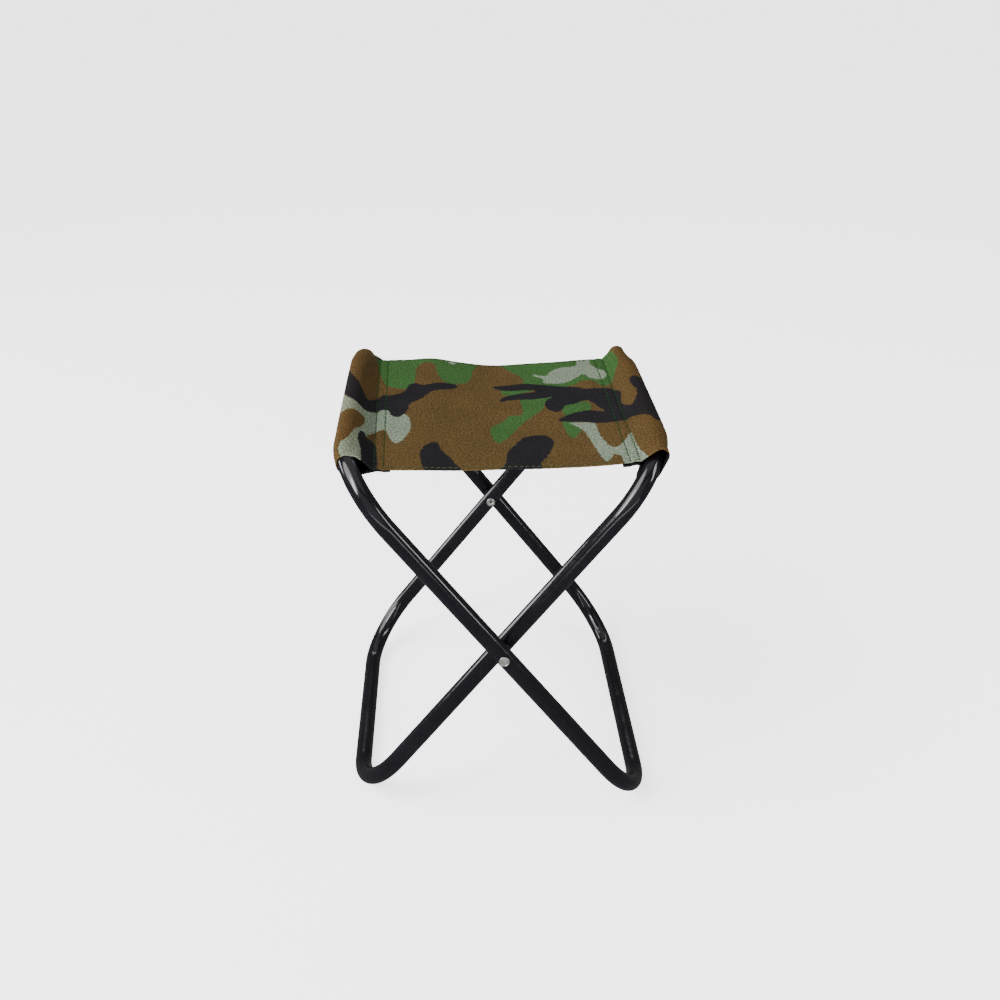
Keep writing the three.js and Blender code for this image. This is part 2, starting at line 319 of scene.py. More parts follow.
def camouflage_cloth():
    """Printed side: four inks on coarse plain weave, faded where it rubs on the rails."""
    nodes = Nodes("camouflage_cloth")
    point = nodes.add("ShaderNodeAttribute", attribute_name="cloth").outputs["Vector"]
    fine = nodes.noise(point, 1.1, 3, 0.65)
    mottle = nodes.noise(point, 0.35, 3, 0.6)
    broad = nodes.noise(point, 0.03, 3, 0.5)
    wobble = nodes.math("MULTIPLY_ADD", nodes.noise(point, 0.28, 4, 0.6), 4.4, -2.2)
    brown = nodes.mix(mottle, (0.044, 0.028, 0.0090, 1), (0.090, 0.056, 0.0190, 1))
    green = nodes.mix(mottle, (0.018, 0.053, 0.013, 1), (0.041, 0.102, 0.027, 1))
    grey = nodes.mix(mottle, (0.094, 0.120, 0.086, 1), (0.190, 0.228, 0.168, 1))
    black = nodes.mix(mottle, (0.0050, 0.0046, 0.0058, 1), (0.014, 0.013, 0.0155, 1))
    colour = nodes.mix(print_edge(nodes, "green_ink", wobble), brown, green)
    colour = nodes.mix(print_edge(nodes, "grey_ink", wobble), colour, grey)
    colour = nodes.mix(print_edge(nodes, "black_ink", wobble), colour, black)
    rubbed = nodes.add("ShaderNodeAttribute", attribute_name="rubbed").outputs["Fac"]
    faded = nodes.math("MULTIPLY", rubbed, nodes.ramp(broad, 0.2, 0.7, 0.1, 0.4))
    colour = nodes.mix(faded, colour, (0.40, 0.235, 0.075, 1), "SOFT_LIGHT")
    weave = weave_height(nodes, point)
    shade = nodes.ramp(weave, -0.2, 1.3, 0.62, 1.34)
    speckle = nodes.ramp(fine, 0.34, 0.66, 0.45, 1.55)
    grain = nodes.ramp(nodes.noise(point, 0.62, 2, 0.7), 0.36, 0.64, 0.5, 1.5)
    cloudy = nodes.ramp(broad, 0.3, 0.7, 0.9, 1.1)
    light = nodes.math("MULTIPLY", nodes.math("MULTIPLY", shade, speckle), cloudy)
    light = nodes.math("MULTIPLY", light, grain)
    grey_light = nodes.add("ShaderNodeCombineColor", {0: light, 1: light, 2: light}).outputs[0]
    colour = nodes.mix(1.0, colour, grey_light, "MULTIPLY")
    normal = nodes.bump(weave, 0.55, 0.28 * MM)
    roughness = nodes.ramp(fine, 0.2, 0.8, 0.72, 0.95)
    return nodes.surface({
        "Base Color": colour, "Roughness": roughness, "Normal": normal,
        "Specular IOR Level": 0.08,
    })


def coated_cloth():
    """Reverse of the cloth: dark rubbery coating that fills the weave."""
    nodes = Nodes("coated_cloth_reverse")
    point = nodes.add("ShaderNodeAttribute", attribute_name="cloth").outputs["Vector"]
    weave = weave_height(nodes, point)
    mottle = nodes.noise(point, 0.5, 3, 0.6)
    colour = nodes.mix(mottle, (0.018, 0.020, 0.018, 1), (0.045, 0.047, 0.040, 1))
    roughness = nodes.ramp(mottle, 0.3, 0.7, 0.5, 0.7)
    normal = nodes.bump(weave, 0.35, 0.2 * MM)
    return nodes.surface({"Base Color": colour, "Roughness": roughness, "Normal": normal})


def sewing_thread(name, dark, light):
    """Twisted polyester thread."""
    nodes = Nodes(name)
    point = object_point(nodes)
    twist = nodes.add("ShaderNodeTexWave", {"Vector": point, "Scale": 900.0, "Distortion": 2.0},
                      bands_direction="DIAGONAL").outputs["Fac"]
    shade = nodes.noise(point, 120, 3, 0.6)
    colour = nodes.mix(nodes.math("MULTIPLY", twist, shade), dark, light)
    normal = nodes.bump(twist, 0.4, 0.1 * MM)
    roughness = nodes.ramp(shade, 0.3, 0.7, 0.4, 0.6)
    return nodes.surface({
        "Base Color": colour, "Roughness": roughness, "Normal": normal, "Specular IOR Level": 0.12,
    })


PAINT = gloss_paint()
RIVET_STEEL = satin_steel("rivet_steel", (0.60, 0.59, 0.57, 1), (0.30, 0.29, 0.27, 1), 0.2)
PLUG_STEEL = satin_steel("plug_steel", (0.42, 0.42, 0.43, 1), (0.22, 0.20, 0.18, 1), 0.3)
NYLON = moulded_nylon()
PRINTED = camouflage_cloth()
REVERSE = coated_cloth()
GREEN_THREAD = sewing_thread("green_thread", (0.001, 0.020, 0.003, 1), (0.004, 0.085, 0.014, 1))
OLIVE_THREAD = sewing_thread("olive_thread", (0.030, 0.038, 0.013, 1), (0.100, 0.115, 0.045, 1))

# ---- frame tubes -------------------------------------------------------------------


def loop_path(half_depth):
    """Centreline of a closed loop in its own plane, round from the top rail's middle."""
    bend_y, bend_z = half_depth - BEND_R, HALF_LENGTH - BEND_R
    steps = 26
    path = [(0, y * bend_y, HALF_LENGTH) for y in np.linspace(0, 0.9, 6)]
    signs = [(1, 1), (1, -1), (-1, -1), (-1, 1)]
    for quarter, (sign_y, sign_z) in enumerate(signs):
        for i in range(steps + 1):
            angle = (quarter + i / steps) * math.pi / 2
            y = sign_y * bend_y + BEND_R * math.sin(angle)
            path.append((0, y, sign_z * bend_z + BEND_R * math.cos(angle)))
    path += [(0, y * bend_y, HALF_LENGTH) for y in np.linspace(-0.9, -0.1, 6)]
    return np.array(path)


def opened(points, tilt):
    """Points of a loop's own plane, turned to the open stool."""
    turn = Matrix.Translation(PIVOT) @ Matrix.Rotation(tilt, 4, "Y")
    return [turn @ Vector(p) for p in points]


def frame_tube(body, tilt):
    """One loop of painted tube, leaning by tilt from the vertical."""
    path = loop_path(HALF_DEPTH[body])
    points, faces = tube_geometry(path, [TUBE_R] * len(path), 48, closed=True)
    piece = mesh_object(f"{body}_tube_painted", opened(points, tilt), faces, [PAINT])
    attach(piece, body)
    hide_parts(body.replace("_loop", "_frame_tube"))
    return piece


frame_tube(OUTER, -TILT)
frame_tube(INNER, TILT)

# ---- rivets and washers ------------------------------------------------------------


def tail_dent(radius, y, angle):
    """Four slots pressed into the rolled tail by the riveting punch."""
    if y >= HALF_DEPTH[INNER] - TUBE_R - 0.8 * MM:
        return 0
    slots = math.cos(2 * angle) ** 8
    return 0.7 * MM * slots * bump_at(radius, 1.9 * MM, 0.9 * MM)


def rivet(name, turn):
    """Built on +Y: domed head outside the outer leg, rolled tail inside the inner leg."""
    head = HALF_DEPTH[OUTER] + TUBE_R + 0.15 * MM
    tail = HALF_DEPTH[INNER] - TUBE_R - 0.15 * MM
    head_r, tail_r, shank_r = 4.35 * MM, 4.4 * MM, 3 * MM
    bore_r, roll_r, bead_r = 1.1 * MM, 0.85 * MM, 0.42 * MM
    plate, dome_r, dome_rise = 0.62 * MM, 3.45 * MM, 0.42 * MM
    profile = [(0, tail + 2 * MM), (0.6 * bore_r, tail + 2 * MM), (bore_r, tail + 1.6 * MM)]
    profile += [(bore_r, tail), (1.05 * bore_r, tail - 0.8 * MM), (1.3 * bore_r, tail - 1.3 * MM)]
    profile += [(t * MM, tail - 1.65 * MM) for t in (1.8, 2.2, 2.6, 3.0, 3.3)]
    for a in np.linspace(75, -80, 11):
        angle = math.radians(a)
        profile.append((tail_r - roll_r + roll_r * math.cos(angle),
                        tail - roll_r - roll_r * math.sin(angle)))
    profile += [(shank_r, tail), (shank_r, head), (head_r - bead_r, head)]
    for a in np.linspace(-60, 200, 16):
        angle = math.radians(a)
        profile.append((head_r - bead_r + bead_r * math.cos(angle),
                        head + plate + bead_r * math.sin(angle)))
    for t in np.linspace(3.3, 0.3, 12) * MM:
        profile.append((t, head + plate + dome_rise * math.sqrt(1 - (t / dome_r) ** 2)))
    profile.append((0, head + plate + dome_rise))
    points, faces = turned_geometry(profile, 64, tail_dent)
    points = [Matrix.Rotation(turn, 3, "Z") @ Vector(p) + Vector((0, 0, PIVOT.z)) for p in points]
    piece = mesh_object(name, points, faces, [RIVET_STEEL])
    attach(piece, OUTER)
    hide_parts(name.replace("_turned", ""))
    return piece


rivet("front_rivet_turned", math.pi)
rivet("rear_rivet_turned", 0)

CAD_LOOKS = {
    "front_spacer_washer": NYLON,
    "rear_spacer_washer": NYLON,
    "outer_butt_plug": PLUG_STEEL,
    "inner_butt_plug": PLUG_STEEL,
}
for node_name, look in CAD_LOOKS.items():
    for slot in frame["nodes"][node_name].material_slots:
        slot.material = look

# ---- seat cloth: shape -------------------------------------------------------------

# Height of the panel along its front and rear edges, in millimetres: x and z.
FRONT_LINE = [(-105, 321.6), (-70, 320.7), (-35, 320), (0, 320.4), (40, 321.8), (75, 322.9),
              (90, 324.3), (105, 326.8)]
REAR_LINE = [(-105, 326), (-80, 326.6), (-58, 327.5), (-33, 323.5), (-6, 320.7), (40, 322.4),
             (105, 326.7)]


def edge_height(line, x):
    """Smooth curve through a line's points."""
    xs, zs = np.array(line, float).T * MM
    slopes = np.gradient(zs, xs)
    i = np.clip(np.searchsorted(xs, x) - 1, 0, len(xs) - 2)
    width = xs[i + 1] - xs[i]
    t = np.clip((x - xs[i]) / width, 0, 1)
    rise = (zs[i] * (1 + 2 * t) * (1 - t) ** 2 + zs[i + 1] * t * t * (3 - 2 * t))
    return rise + width * (slopes[i] * t * (1 - t) ** 2 - slopes[i + 1] * t * t * (1 - t))


def seam_shift(side, y):
    """How far a sleeve's two rows of stitches stray sideways, running to the rear."""
    toward_rear = y / SEAT_HALF_DEPTH
    return (1.4 - 2.9 * toward_rear if side < 0 else 0.4 - 0.2 * toward_rear) * MM


def ripple(x, y):
    """Slack and creases of the cloth between its seams."""
    inside = smoothstep((SEAM_INNER - np.abs(x)) / (25 * MM))
    slack = np.sin(x / (23 * MM) + 1.3 * np.sin(y / (41 * MM))) * np.sin(y / (37 * MM) + 0.6)
    crease = np.sin((x + 0.6 * y) / (11 * MM) + 2 * np.sin(y / (29 * MM)))
    return inside * (0.55 * MM * slack + 0.16 * MM * crease)


def seam_relief(x, y):
    """Furrows under the two rows of stitches, and the puckers they pull up."""
    x = np.where(x < 0, seam_shift(-1, y) - x, x - seam_shift(1, y))
    furrows = bump_at(x, SEAM_OUTER, 1.3 * MM) + bump_at(x, SEAM_INNER, 1.3 * MM)
    puckers = np.sin(2 * math.pi * y / (9.3 * MM) + 3 * np.sin(y / (50 * MM)))
    near = bump_at(x, (SEAM_OUTER + SEAM_INNER) / 2, 9 * MM)
    swell = bump_at(x, (SEAM_OUTER + SEAM_INNER) / 2, 3 * MM)
    return -0.35 * MM * furrows + 0.18 * MM * puckers * near + 0.2 * MM * swell


def hem_relief(x, y):
    """Furrow under the hem's row of stitches, and its puckers."""
    from_edge = SEAT_HALF_DEPTH - np.abs(y)
    puckers = np.sin(2 * math.pi * x / (7.7 * MM) + 2 * np.sin(x / (40 * MM)))
    furrow = bump_at(from_edge, HEM_ROW, 0.9 * MM)
    return -0.25 * MM * furrow + 0.14 * MM * puckers * bump_at(from_edge, 4 * MM, 5 * MM)


def panel_height(x, y):
    """Height of the panel's printed face."""
    toward_rear = (y + SEAT_HALF_DEPTH) / (2 * SEAT_HALF_DEPTH)
    plain = (1 - toward_rear) * edge_height(FRONT_LINE, x) + toward_rear * edge_height(REAR_LINE, x)
    return plain + ripple(x, y) + seam_relief(x, y) + hem_relief(x, y)


def rail_section(side, y):
    """Cloth's clearance round the tube, cut across at y: (x, z) points."""
    body = OUTER if side < 0 else INNER
    past = np.clip((abs(y) - HALF_DEPTH[body] + BEND_R) / BEND_R, 0, 0.99)
    turn = math.asin(past)
    drop = BEND_R * (1 - math.cos(turn))
    radius = TUBE_R + CLOTH + RAIL_GAP
    leg = np.array((side * math.sin(TILT), math.cos(TILT)))
    across = np.array((leg[1], -leg[0]))
    centre = np.array((side * RAIL_X, RAIL_Z)) - leg * drop
    angles = np.linspace(0, 2 * math.pi, 60, endpoint=False)
    rounds = np.outer(np.cos(angles), leg) / math.cos(turn) + np.outer(np.sin(angles), across)
    return centre + radius * rounds


# How far the stiff cloth's crest has shifted at a sleeve's end, with the tube's bend, and
# its radius there: by side (left, right) and end (front, rear).
CREST_SHIFT = {
    (-1, -1): (np.array((7.2, -5.6)) * MM, LOOP_R),
    (-1, 1): (np.array((2.9, -3.7)) * MM, 10.8 * MM),
    (1, -1): (np.array((-2.2, -0.4)) * MM, 6.8 * MM),
    (1, 1): (np.array((-5.2, 1.3)) * MM, 7.6 * MM),
}
# A sleeve's crest reaches past the panel's edge by this much.
CREST_REACH = {(-1, -1): 2.2 * MM, (-1, 1): 0.5 * MM, (1, -1): 0.3 * MM, (1, 1): 0.5 * MM}


def crest_section(side, y):
    """The round that the cloth keeps by its own stiffness, cut across at y."""
    toward_end = smoothstep((abs(y) - 62 * MM) / (SEAT_HALF_DEPTH - 62 * MM))
    shift, end_r = CREST_SHIFT[side, 1 if y > 0 else -1]
    centre = np.array((side * RAIL_X, RAIL_Z)) + toward_end * shift
    radius = LOOP_R + toward_end * (end_r - LOOP_R)
    angles = np.linspace(0, 2 * math.pi, 60, endpoint=False)
    return centre + radius * np.stack([np.cos(angles), np.sin(angles)], 1)


def hull(points):
    """Convex hull of 2-D points, clockwise."""
    points = sorted(map(tuple, points))

    def half(ordered):
        chain = []
        for p in ordered:
            while len(chain) > 1:
                a, b = chain[-2], chain[-1]
                if (b[0] - a[0]) * (p[1] - a[1]) < (b[1] - a[1]) * (p[0] - a[0]):
                    break
                chain.pop()
            chain.append(p)
        return chain[:-1]

    return np.array(half(points) + half(points[::-1]))


def spaced(line, count):
    """count points evenly along a 2-D line."""
    lengths = np.linalg.norm(np.diff(line, axis=0), axis=1)
    at = np.concatenate([[0], np.cumsum(lengths)])
    wanted = np.linspace(0, at[-1], count)
    return np.stack([np.interp(wanted, at, line[:, k]) for k in (0, 1)], 1)


def smoothed(line, rounds=2):
    """The same line with its corners eased; both ends stay."""
    line = line.copy()
    for _ in range(rounds):
        line[1:-1] = 0.25 * line[:-2] + 0.5 * line[1:-1] + 0.25 * line[2:]
    return line


def flap_drop(side, y):
    """Depth of the sewn-under end below the panel; it hangs a little at the right front."""
    hang = 1.6 * MM if side > 0 else 0
    return FLAP_DROP + hang * smoothstep((-y - 90 * MM) / (SEAT_HALF_DEPTH - 90 * MM))


def sleeve_line(side, y):
    """Cloth from the seam over the rail and back below the seam: (x, y, z) points."""
    end = 1 if y > 0 else -1
    toward_end = smoothstep((abs(y) - 85 * MM) / (SEAT_HALF_DEPTH - 85 * MM))
    crest_y = y + end * toward_end * CREST_REACH[side, end]
    seam_x = side * SEAM_OUTER + seam_shift(side, y)
    top = np.array((seam_x, float(panel_height(seam_x, y))))
    under = top - (0, flap_drop(side, y))
    points = np.vstack([crest_section(side, crest_y), rail_section(side, crest_y), [top], [under]])
    ring = hull(points)
    start = int(np.argmin(np.linalg.norm(ring - top, axis=1)))
    ring = np.roll(ring, -start, axis=0)
    if np.linalg.norm(ring[1] - under) < 1e-6:
        ring = np.vstack([ring[:1], ring[:0:-1]])
    line = smoothed(spaced(ring, LOOP_POINTS))
    # Toward the rear the cloth sags between the seam and the round.
    from_seam = np.linspace(0, 1, LOOP_POINTS) / 0.2
    sag = 1.1 * MM * smoothstep((y - 50 * MM) / (SEAT_HALF_DEPTH - 50 * MM))
    line[:, 1] -= sag * np.where(from_seam < 1, np.sin(math.pi * from_seam) ** 2, 0)
    reach = np.sin(np.linspace(0, math.pi, LOOP_POINTS)) ** 0.7
    return np.stack([line[:, 0], y + (crest_y - y) * reach, line[:, 1]], 1)


def panel_columns():
    """Columns of the panel's mesh, closer together at the two seams."""
    at_seam = (92, 93.5, 94.8, 95.6, 96, 96.4, 97.2, 98.8, 100.5, 102.2, 103.6, 104.5)
    seams = [s * MM for s in at_seam]
    middle = np.linspace(-89.6 * MM, 89.6 * MM, 75)
    return np.array([-s for s in seams[::-1]] + list(middle) + seams)


def flap_columns():
    """Columns of the sewn-under end's mesh, from the seam to its tip."""
    return np.array([SEAM_OUTER - 0.1 * MM, 102 * MM, 99 * MM, SEAM_INNER, FLAP_TIP])


def cloth_section(y):
    """The whole cloth cut across at y, from the left flap's tip to the right one's."""
    left = -flap_columns()[::-1] + seam_shift(-1, y)
    right = flap_columns() + seam_shift(1, y)
    left_flap = np.stack([left, 0 * left + y, panel_height(left, y) - flap_drop(-1, y)], 1)
    right_flap = np.stack([right, 0 * right + y, panel_height(right, y) - flap_drop(1, y)], 1)
    across = panel_columns()
    reach = smoothstep((np.abs(across) - 50 * MM) / (FLAP_TIP - 50 * MM))
    across = across + reach * np.where(across < 0, seam_shift(-1, y), seam_shift(1, y))
    panel = np.stack([across, 0 * across + y, panel_height(across, y)], 1)
    return np.vstack([left_flap, sleeve_line(-1, y)[::-1], panel, sleeve_line(1, y), right_flap])


def flat_across():
    """Where each column lies on the flat cloth, in millimetres from its middle."""
    loop = SEAM_OUTER + np.linspace(0, LOOP_GIRTH, LOOP_POINTS)
    flap = SEAM_OUTER + LOOP_GIRTH + (SEAM_OUTER - flap_columns())
    right = np.concatenate([loop, flap])
    return np.concatenate([-right[::-1], panel_columns(), right]) / MM


def cloth_rows():
    """Rows from the front hem's inner edge, round the fold, over the seat and down again.

    Each is (y, depth below the printed face, place on the flat cloth).
    """
    edge = SEAT_HALF_DEPTH - HEM_FOLD_R
    under = np.array((8, 5.5, 3, 1)) * MM
    hem = [(edge - s, 2 * HEM_FOLD_R, SEAT_HALF_DEPTH + s) for s in under]
    for angle in np.radians((180, 144, 108, 72, 36, 0)):
        hem.append((edge + HEM_FOLD_R * math.sin(angle), HEM_FOLD_R * (1 - math.cos(angle)),
                    edge + HEM_FOLD_R * angle))
    stitched = np.array((1.6, 2.4, 3, 3.6, 4.6)) * MM
    rear = hem + [(SEAT_HALF_DEPTH - s, 0, SEAT_HALF_DEPTH - s) for s in stitched]
    front = [(-y, depth, -flat) for y, depth, flat in rear]
    middle = [(y, 0, y) for y in np.linspace(-110.5 * MM, 110.5 * MM, 93)]
    return front + middle + rear[::-1]


def grid_normals(grid):
    """Unit normals of a grid of points."""
    across = np.gradient(grid, axis=1)
    along = np.gradient(grid, axis=0)
    normals = np.cross(across, along)
    return normals / np.linalg.norm(normals, axis=2)[..., None]


def printed_surface():
    """Points of the printed face, row by row, and the rows they come from."""
    rows = cloth_rows()
    flat_face = np.array([cloth_section(y) for y, _, _ in rows])
    tangent = np.gradient(flat_face, axis=1)
    outward = np.stack([-tangent[..., 2], np.zeros(tangent.shape[:2]), tangent[..., 0]], 2)
    outward /= np.linalg.norm(outward, axis=2)[..., None]
    depth = np.array([d for _, d, _ in rows])
    return flat_face - outward * depth[:, None, None], rows


# ---- seat cloth: print -------------------------------------------------------------

# Outlines of the printed shapes on the flat cloth, in millimetres from its middle:
# across the seat, then towards the rear. Each is a smooth closed curve.
GREEN_INK = [
    [(-108, 123), (-60, 125), (-18, 123), (-21, 98), (-23, 80), (-28, 65), (-40, 59), (-49, 64),
     (-54, 82), (-56, 100), (-63, 108), (-69, 103), (-73, 92), (-74, 75), (-75, 60), (-82, 45),
     (-94, 48), (-101, 55), (-104, 68), (-107, 92)],
    [(6, 124), (60, 126), (106, 124), (112, 117), (118, 100), (118, 82), (112, 70), (107, 58),
     (100, 45), (92, 50), (88, 61), (77, 63), (70, 55), (55, 52), (40, 58), (26, 58), (24, 76), (17, 92),
     (10, 106)],
    [(4, 48), (20, 48), (33, 44), (20, 38), (7, 35)],
    [(19, 26), (30, 27), (49, 33), (47, 22), (40, 13), (38, 1), (30, -12), (20, -26), (12, -42),
     (5, -58), (-4, -70), (-9, -56), (-10, -42), (-6, -32), (3, -23), (8, -11), (17, -12),
     (20, 0)],
    [(56, 7), (67, 11), (76, 13), (80, 2), (76, -9), (66, -14), (57, -18), (54, -8)],
    [(52, -28), (61, -31), (66, -43), (63, -55), (57, -63), (53, -50)],
    [(132, 100), (146, 116), (166, 108), (170, 82), (152, 74)],
    [(-172, -30), (-156, -44), (-160, -78), (-176, -72)],
]
GREY_INK = [
    [(34, 86), (46, 80), (52, 92), (62, 100), (76, 102), (79, 120), (90, 120), (90, 103),
     (95, 91), (101, 82), (101, 68), (95, 62), (86, 68), (81, 79), (73, 71), (62, 61), (50, 60),
     (43, 64), (43, 73), (36, 80)],
    [(-162, 24), (-152, 23), (-143, 6), (-136, -11), (-128, -20), (-118, -21), (-108, -10),
     (-100, -2), (-90, -14), (-83, -12), (-79, -24), (-78, -40), (-82, -56), (-90, -70),
     (-96, -62), (-99, -46), (-104, -46), (-111, -56), (-117, -72), (-121, -92), (-121, -122),
     (-137, -122), (-139, -106), (-132, -94), (-128, -74), (-121, -56), (-119, -39), (-130, -37),
     (-141, -39), (-149, -20), (-156, -2), (-163, 6)],
    [(58, -33), (70, -33), (78, -34), (79, -46), (80, -62), (83, -78), (88, -87), (94, -83),
     (100, -72), (105, -63), (106, -90), (110, -122), (93, -122), (91, -105), (87, -99),
     (84, -104), (80, -112), (76, -105), (73, -82), (70, -62), (66, -46)],
    [(-46, 122), (-36, 122), (-37, 111), (-42, 108)],
    [(146, 20), (160, 34), (172, 12), (160, -6)],
]
BLACK_INK = [
    [(-164, 78), (-151, 82), (-141, 62), (-136, 44), (-129, 25), (-123, 11), (-117, 3),
     (-111, 14), (-103, 28), (-94, 30), (-84, 38), (-80, 53), (-74, 58), (-66, 53), (-56, 58),
     (-42, 60), (-36, 55), (-40, 48), (-53, 43), (-60, 37), (-66, 26), (-73, 16), (-79, 9),
     (-81, -4), (-88, -18), (-95, -15), (-99, -2), (-108, -9), (-118, -22), (-128, -20),
     (-136, -11), (-143, 6), (-151, 22), (-164, 26)],
    [(-4, 58), (10, 60), (25, 62), (40, 58), (60, 52), (70, 50), (80, 43), (96, 40), (106, 28),
     (109, 16), (106, 0), (110, -12), (115, -18), (121, -10), (124, 2), (122, 16), (121, 31),
     (125, 36), (132, 33), (144, 30), (156, 2), (152, -40), (133, -66), (126, -56), (116, -44),
     (108, -38), (96, -37), (80, -36), (68, -31), (51, -29), (50, -24), (56, -17), (66, -10),
     (78, -8), (90, -14), (86, -3), (81, 10), (76, 17), (67, 9), (58, 6), (54, -4), (48, -8),
     (42, -1), (40, 8), (42, 18), (48, 27), (40, 24), (26, 23), (12, 24), (1, 21), (5, 31),
     (15, 37), (33, 40), (31, 45), (10, 46), (0, 51)],
    [(-60, -69), (-54, -69), (-51, -82), (-45, -94), (-40, -106), (-37, -122), (-62, -122),
     (-68, -104), (-69, -88), (-66, -76)],
    [(20, -58), (32, -55), (39, -61), (41, -72), (37, -87), (33, -98), (28, -108), (25, -122),
     (-5, -122), (0, -108), (2, -90), (8, -76), (14, -64)],
    [(-124, -88), (-124, -76), (-122, -68), (-118, -67), (-116, -73), (-111, -71), (-107, -77),
     (-106, -92), (-106, -122), (-120, -122), (-121, -100)],
    [(138, -96), (150, -84), (166, -92), (160, -112), (144, -114)],
    [(-188, 96), (-172, 108), (-162, 100), (-170, 84)],
    # The last two shapes darken the front ends of both sleeves, from the crest round underneath.
    [(-150, -128), (-158, -108), (-176, -98), (-196, -104), (-200, -128)],
    [(131, -128), (133, -114), (146, -103), (164, -98), (190, -100), (200, -128)],
]


# Where the cloth rubs over a rail, in millimetres across the flat cloth.
RUBBED_AT, RUBBED_WIDTH = 132, 14


def smooth_outline(points, steps=5):
    """A closed Catmull-Rom curve through the points."""
    p = np.array(points, float)
    a, b, c, d = np.roll(p, 1, 0), p, np.roll(p, -1, 0), np.roll(p, -2, 0)
    curve = []
    for t in np.arange(steps) / steps:
        curve.append(b + 0.5 * t * (c - a) + t * t * (a - 2.5 * b + 2 * c - 0.5 * d)
                     + t ** 3 * (-0.5 * a + 1.5 * b - 1.5 * c + 0.5 * d))
    return np.stack(curve, 1).reshape(-1, 2)


def outline_distance(outline, points):
    """Distance to a closed outline in millimetres, negative inside."""
    starts, ends = outline, np.roll(outline, -1, 0)
    nearest = np.full(len(points), np.inf)
    inside = np.zeros(len(points), bool)
    for a, b in zip(starts, ends):
        line = b - a
        t = np.clip((points - a) @ line / max(line @ line, 1e-9), 0, 1)
        nearest = np.minimum(nearest, np.linalg.norm(points - a - t[:, None] * line, axis=1))
        straddles = (a[1] > points[:, 1]) != (b[1] > points[:, 1])
        with np.errstate(divide="ignore", invalid="ignore"):
            cut = a[0] + (points[:, 1] - a[1]) * line[0] / line[1]
        inside ^= straddles & (points[:, 0] < cut)
    return np.where(inside, -nearest, nearest)


def ink_distance(shapes, points):
    """Distance to the nearest of one ink's shapes, negative inside."""
    return np.min([outline_distance(smooth_outline(s), points) for s in shapes], axis=0)


def print_offset(across, along):
    """How far the print is shifted sideways on the cloth, which was cut a little askew."""
    return 2 + across / 105 * (0.825 * along / 117.5 - 0.375)


def store(mesh, name, values, kind="FLOAT", field="value"):
    """Values on the mesh's points, for its material to read."""
    attribute = mesh.attributes.new(name, kind, "POINT")
    attribute.data.foreach_set(field, np.asarray(values, np.float32).ravel())


def seat_cloth():
    """One sheet: its printed face, its coated reverse and the rim between them."""
    outer, rows = printed_surface()
    inner = outer - grid_normals(outer) * CLOTH
    count_y, count_x = outer.shape[:2]
    layer = count_y * count_x
    points = np.vstack([outer.reshape(-1, 3), inner.reshape(-1, 3)])

    def at(i, j, under=0):
        return under * layer + i * count_x + j

    printed, reverse = [], []
    for i in range(count_y - 1):
        for j in range(count_x - 1):
            printed.append((at(i, j), at(i, j + 1), at(i + 1, j + 1), at(i + 1, j)))
            reverse.append((at(i, j, 1), at(i + 1, j, 1), at(i + 1, j + 1, 1), at(i, j + 1, 1)))
    faces = printed + reverse
    rim = [(i, 0) for i in range(count_y)] + [(count_y - 1, j) for j in range(1, count_x)]
    rim += [(i, count_x - 1) for i in range(count_y - 2, -1, -1)]
    rim += [(0, j) for j in range(count_x - 2, 0, -1)]
    for a, b in zip(rim, rim[1:] + rim[:1]):
        faces.append((at(*a), at(*b), at(*b, 1), at(*a, 1)))
    which = [0] * len(printed) + [1] * (len(faces) - len(printed))
    cloth = mesh_object("seat_cloth", points, faces, [PRINTED, REVERSE], which)

    flat_x = np.tile(flat_across(), count_y)
    flat_y = np.repeat([flat / MM for _, _, flat in rows], count_x)
    flat = np.stack([flat_x, flat_y], 1)
    printed_at = flat - np.outer(print_offset(flat_x, flat_y), (1, 0))
    inks = {"green_ink": GREEN_INK, "grey_ink": GREY_INK, "black_ink": BLACK_INK}
    for ink, shapes in inks.items():
        store(cloth.data, ink, np.tile(ink_distance(shapes, printed_at), 2))
    store(cloth.data, "cloth", np.tile(np.column_stack([flat, np.zeros(layer)]), (2, 1)),
          "FLOAT_VECTOR", "vector")
    store(cloth.data, "rubbed", np.tile(bump_at(np.abs(flat_x), RUBBED_AT, RUBBED_WIDTH), 2))
    return cloth


def follow_fold(piece):
    """Bakes the piece's placement into its points; the cloth and thread do not bend between the two
    loops as the stool closes.
    """
    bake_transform(piece)


cloth = seat_cloth()
follow_fold(cloth)
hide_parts("seat_panel", "left_sleeve", "right_sleeve", "left_seam_flap",
            "right_seam_flap", "front_hem", "rear_hem")

# ---- stitching ---------------------------------------------------------------------


def stitch(middle, direction):
    """One short arched stitch that dives into the cloth at both ends."""
    path, radii = [], []
    for t in np.linspace(-1, 1, 7):
        lift = 0.30 * MM * (1 - abs(t) ** 3) - 0.05 * MM
        path.append(np.array(middle) + np.array(direction) * (t * STITCH / 2) + (0, 0, lift))
        radii.append(THREAD_R * (1 - 0.35 * t ** 6))
    return tube_geometry(path, radii, 6)


def seam_row(side, distance):
    """Stitches down one seam, along Y."""
    reach = SEAT_HALF_DEPTH - 1.5 * MM
    made = []
    for k, y in enumerate(np.arange(-reach + STITCH / 2, reach - STITCH / 2, STITCH_PITCH)):
        sway = 0.12 * MM * math.sin(1.7 * k)
        x = side * distance + seam_shift(side, y) + sway
        slant = 0.03 * math.sin(2.3 * k)
        made.append(stitch((x, y, float(panel_height(x, y))), (slant, 1, 0)))
    return made


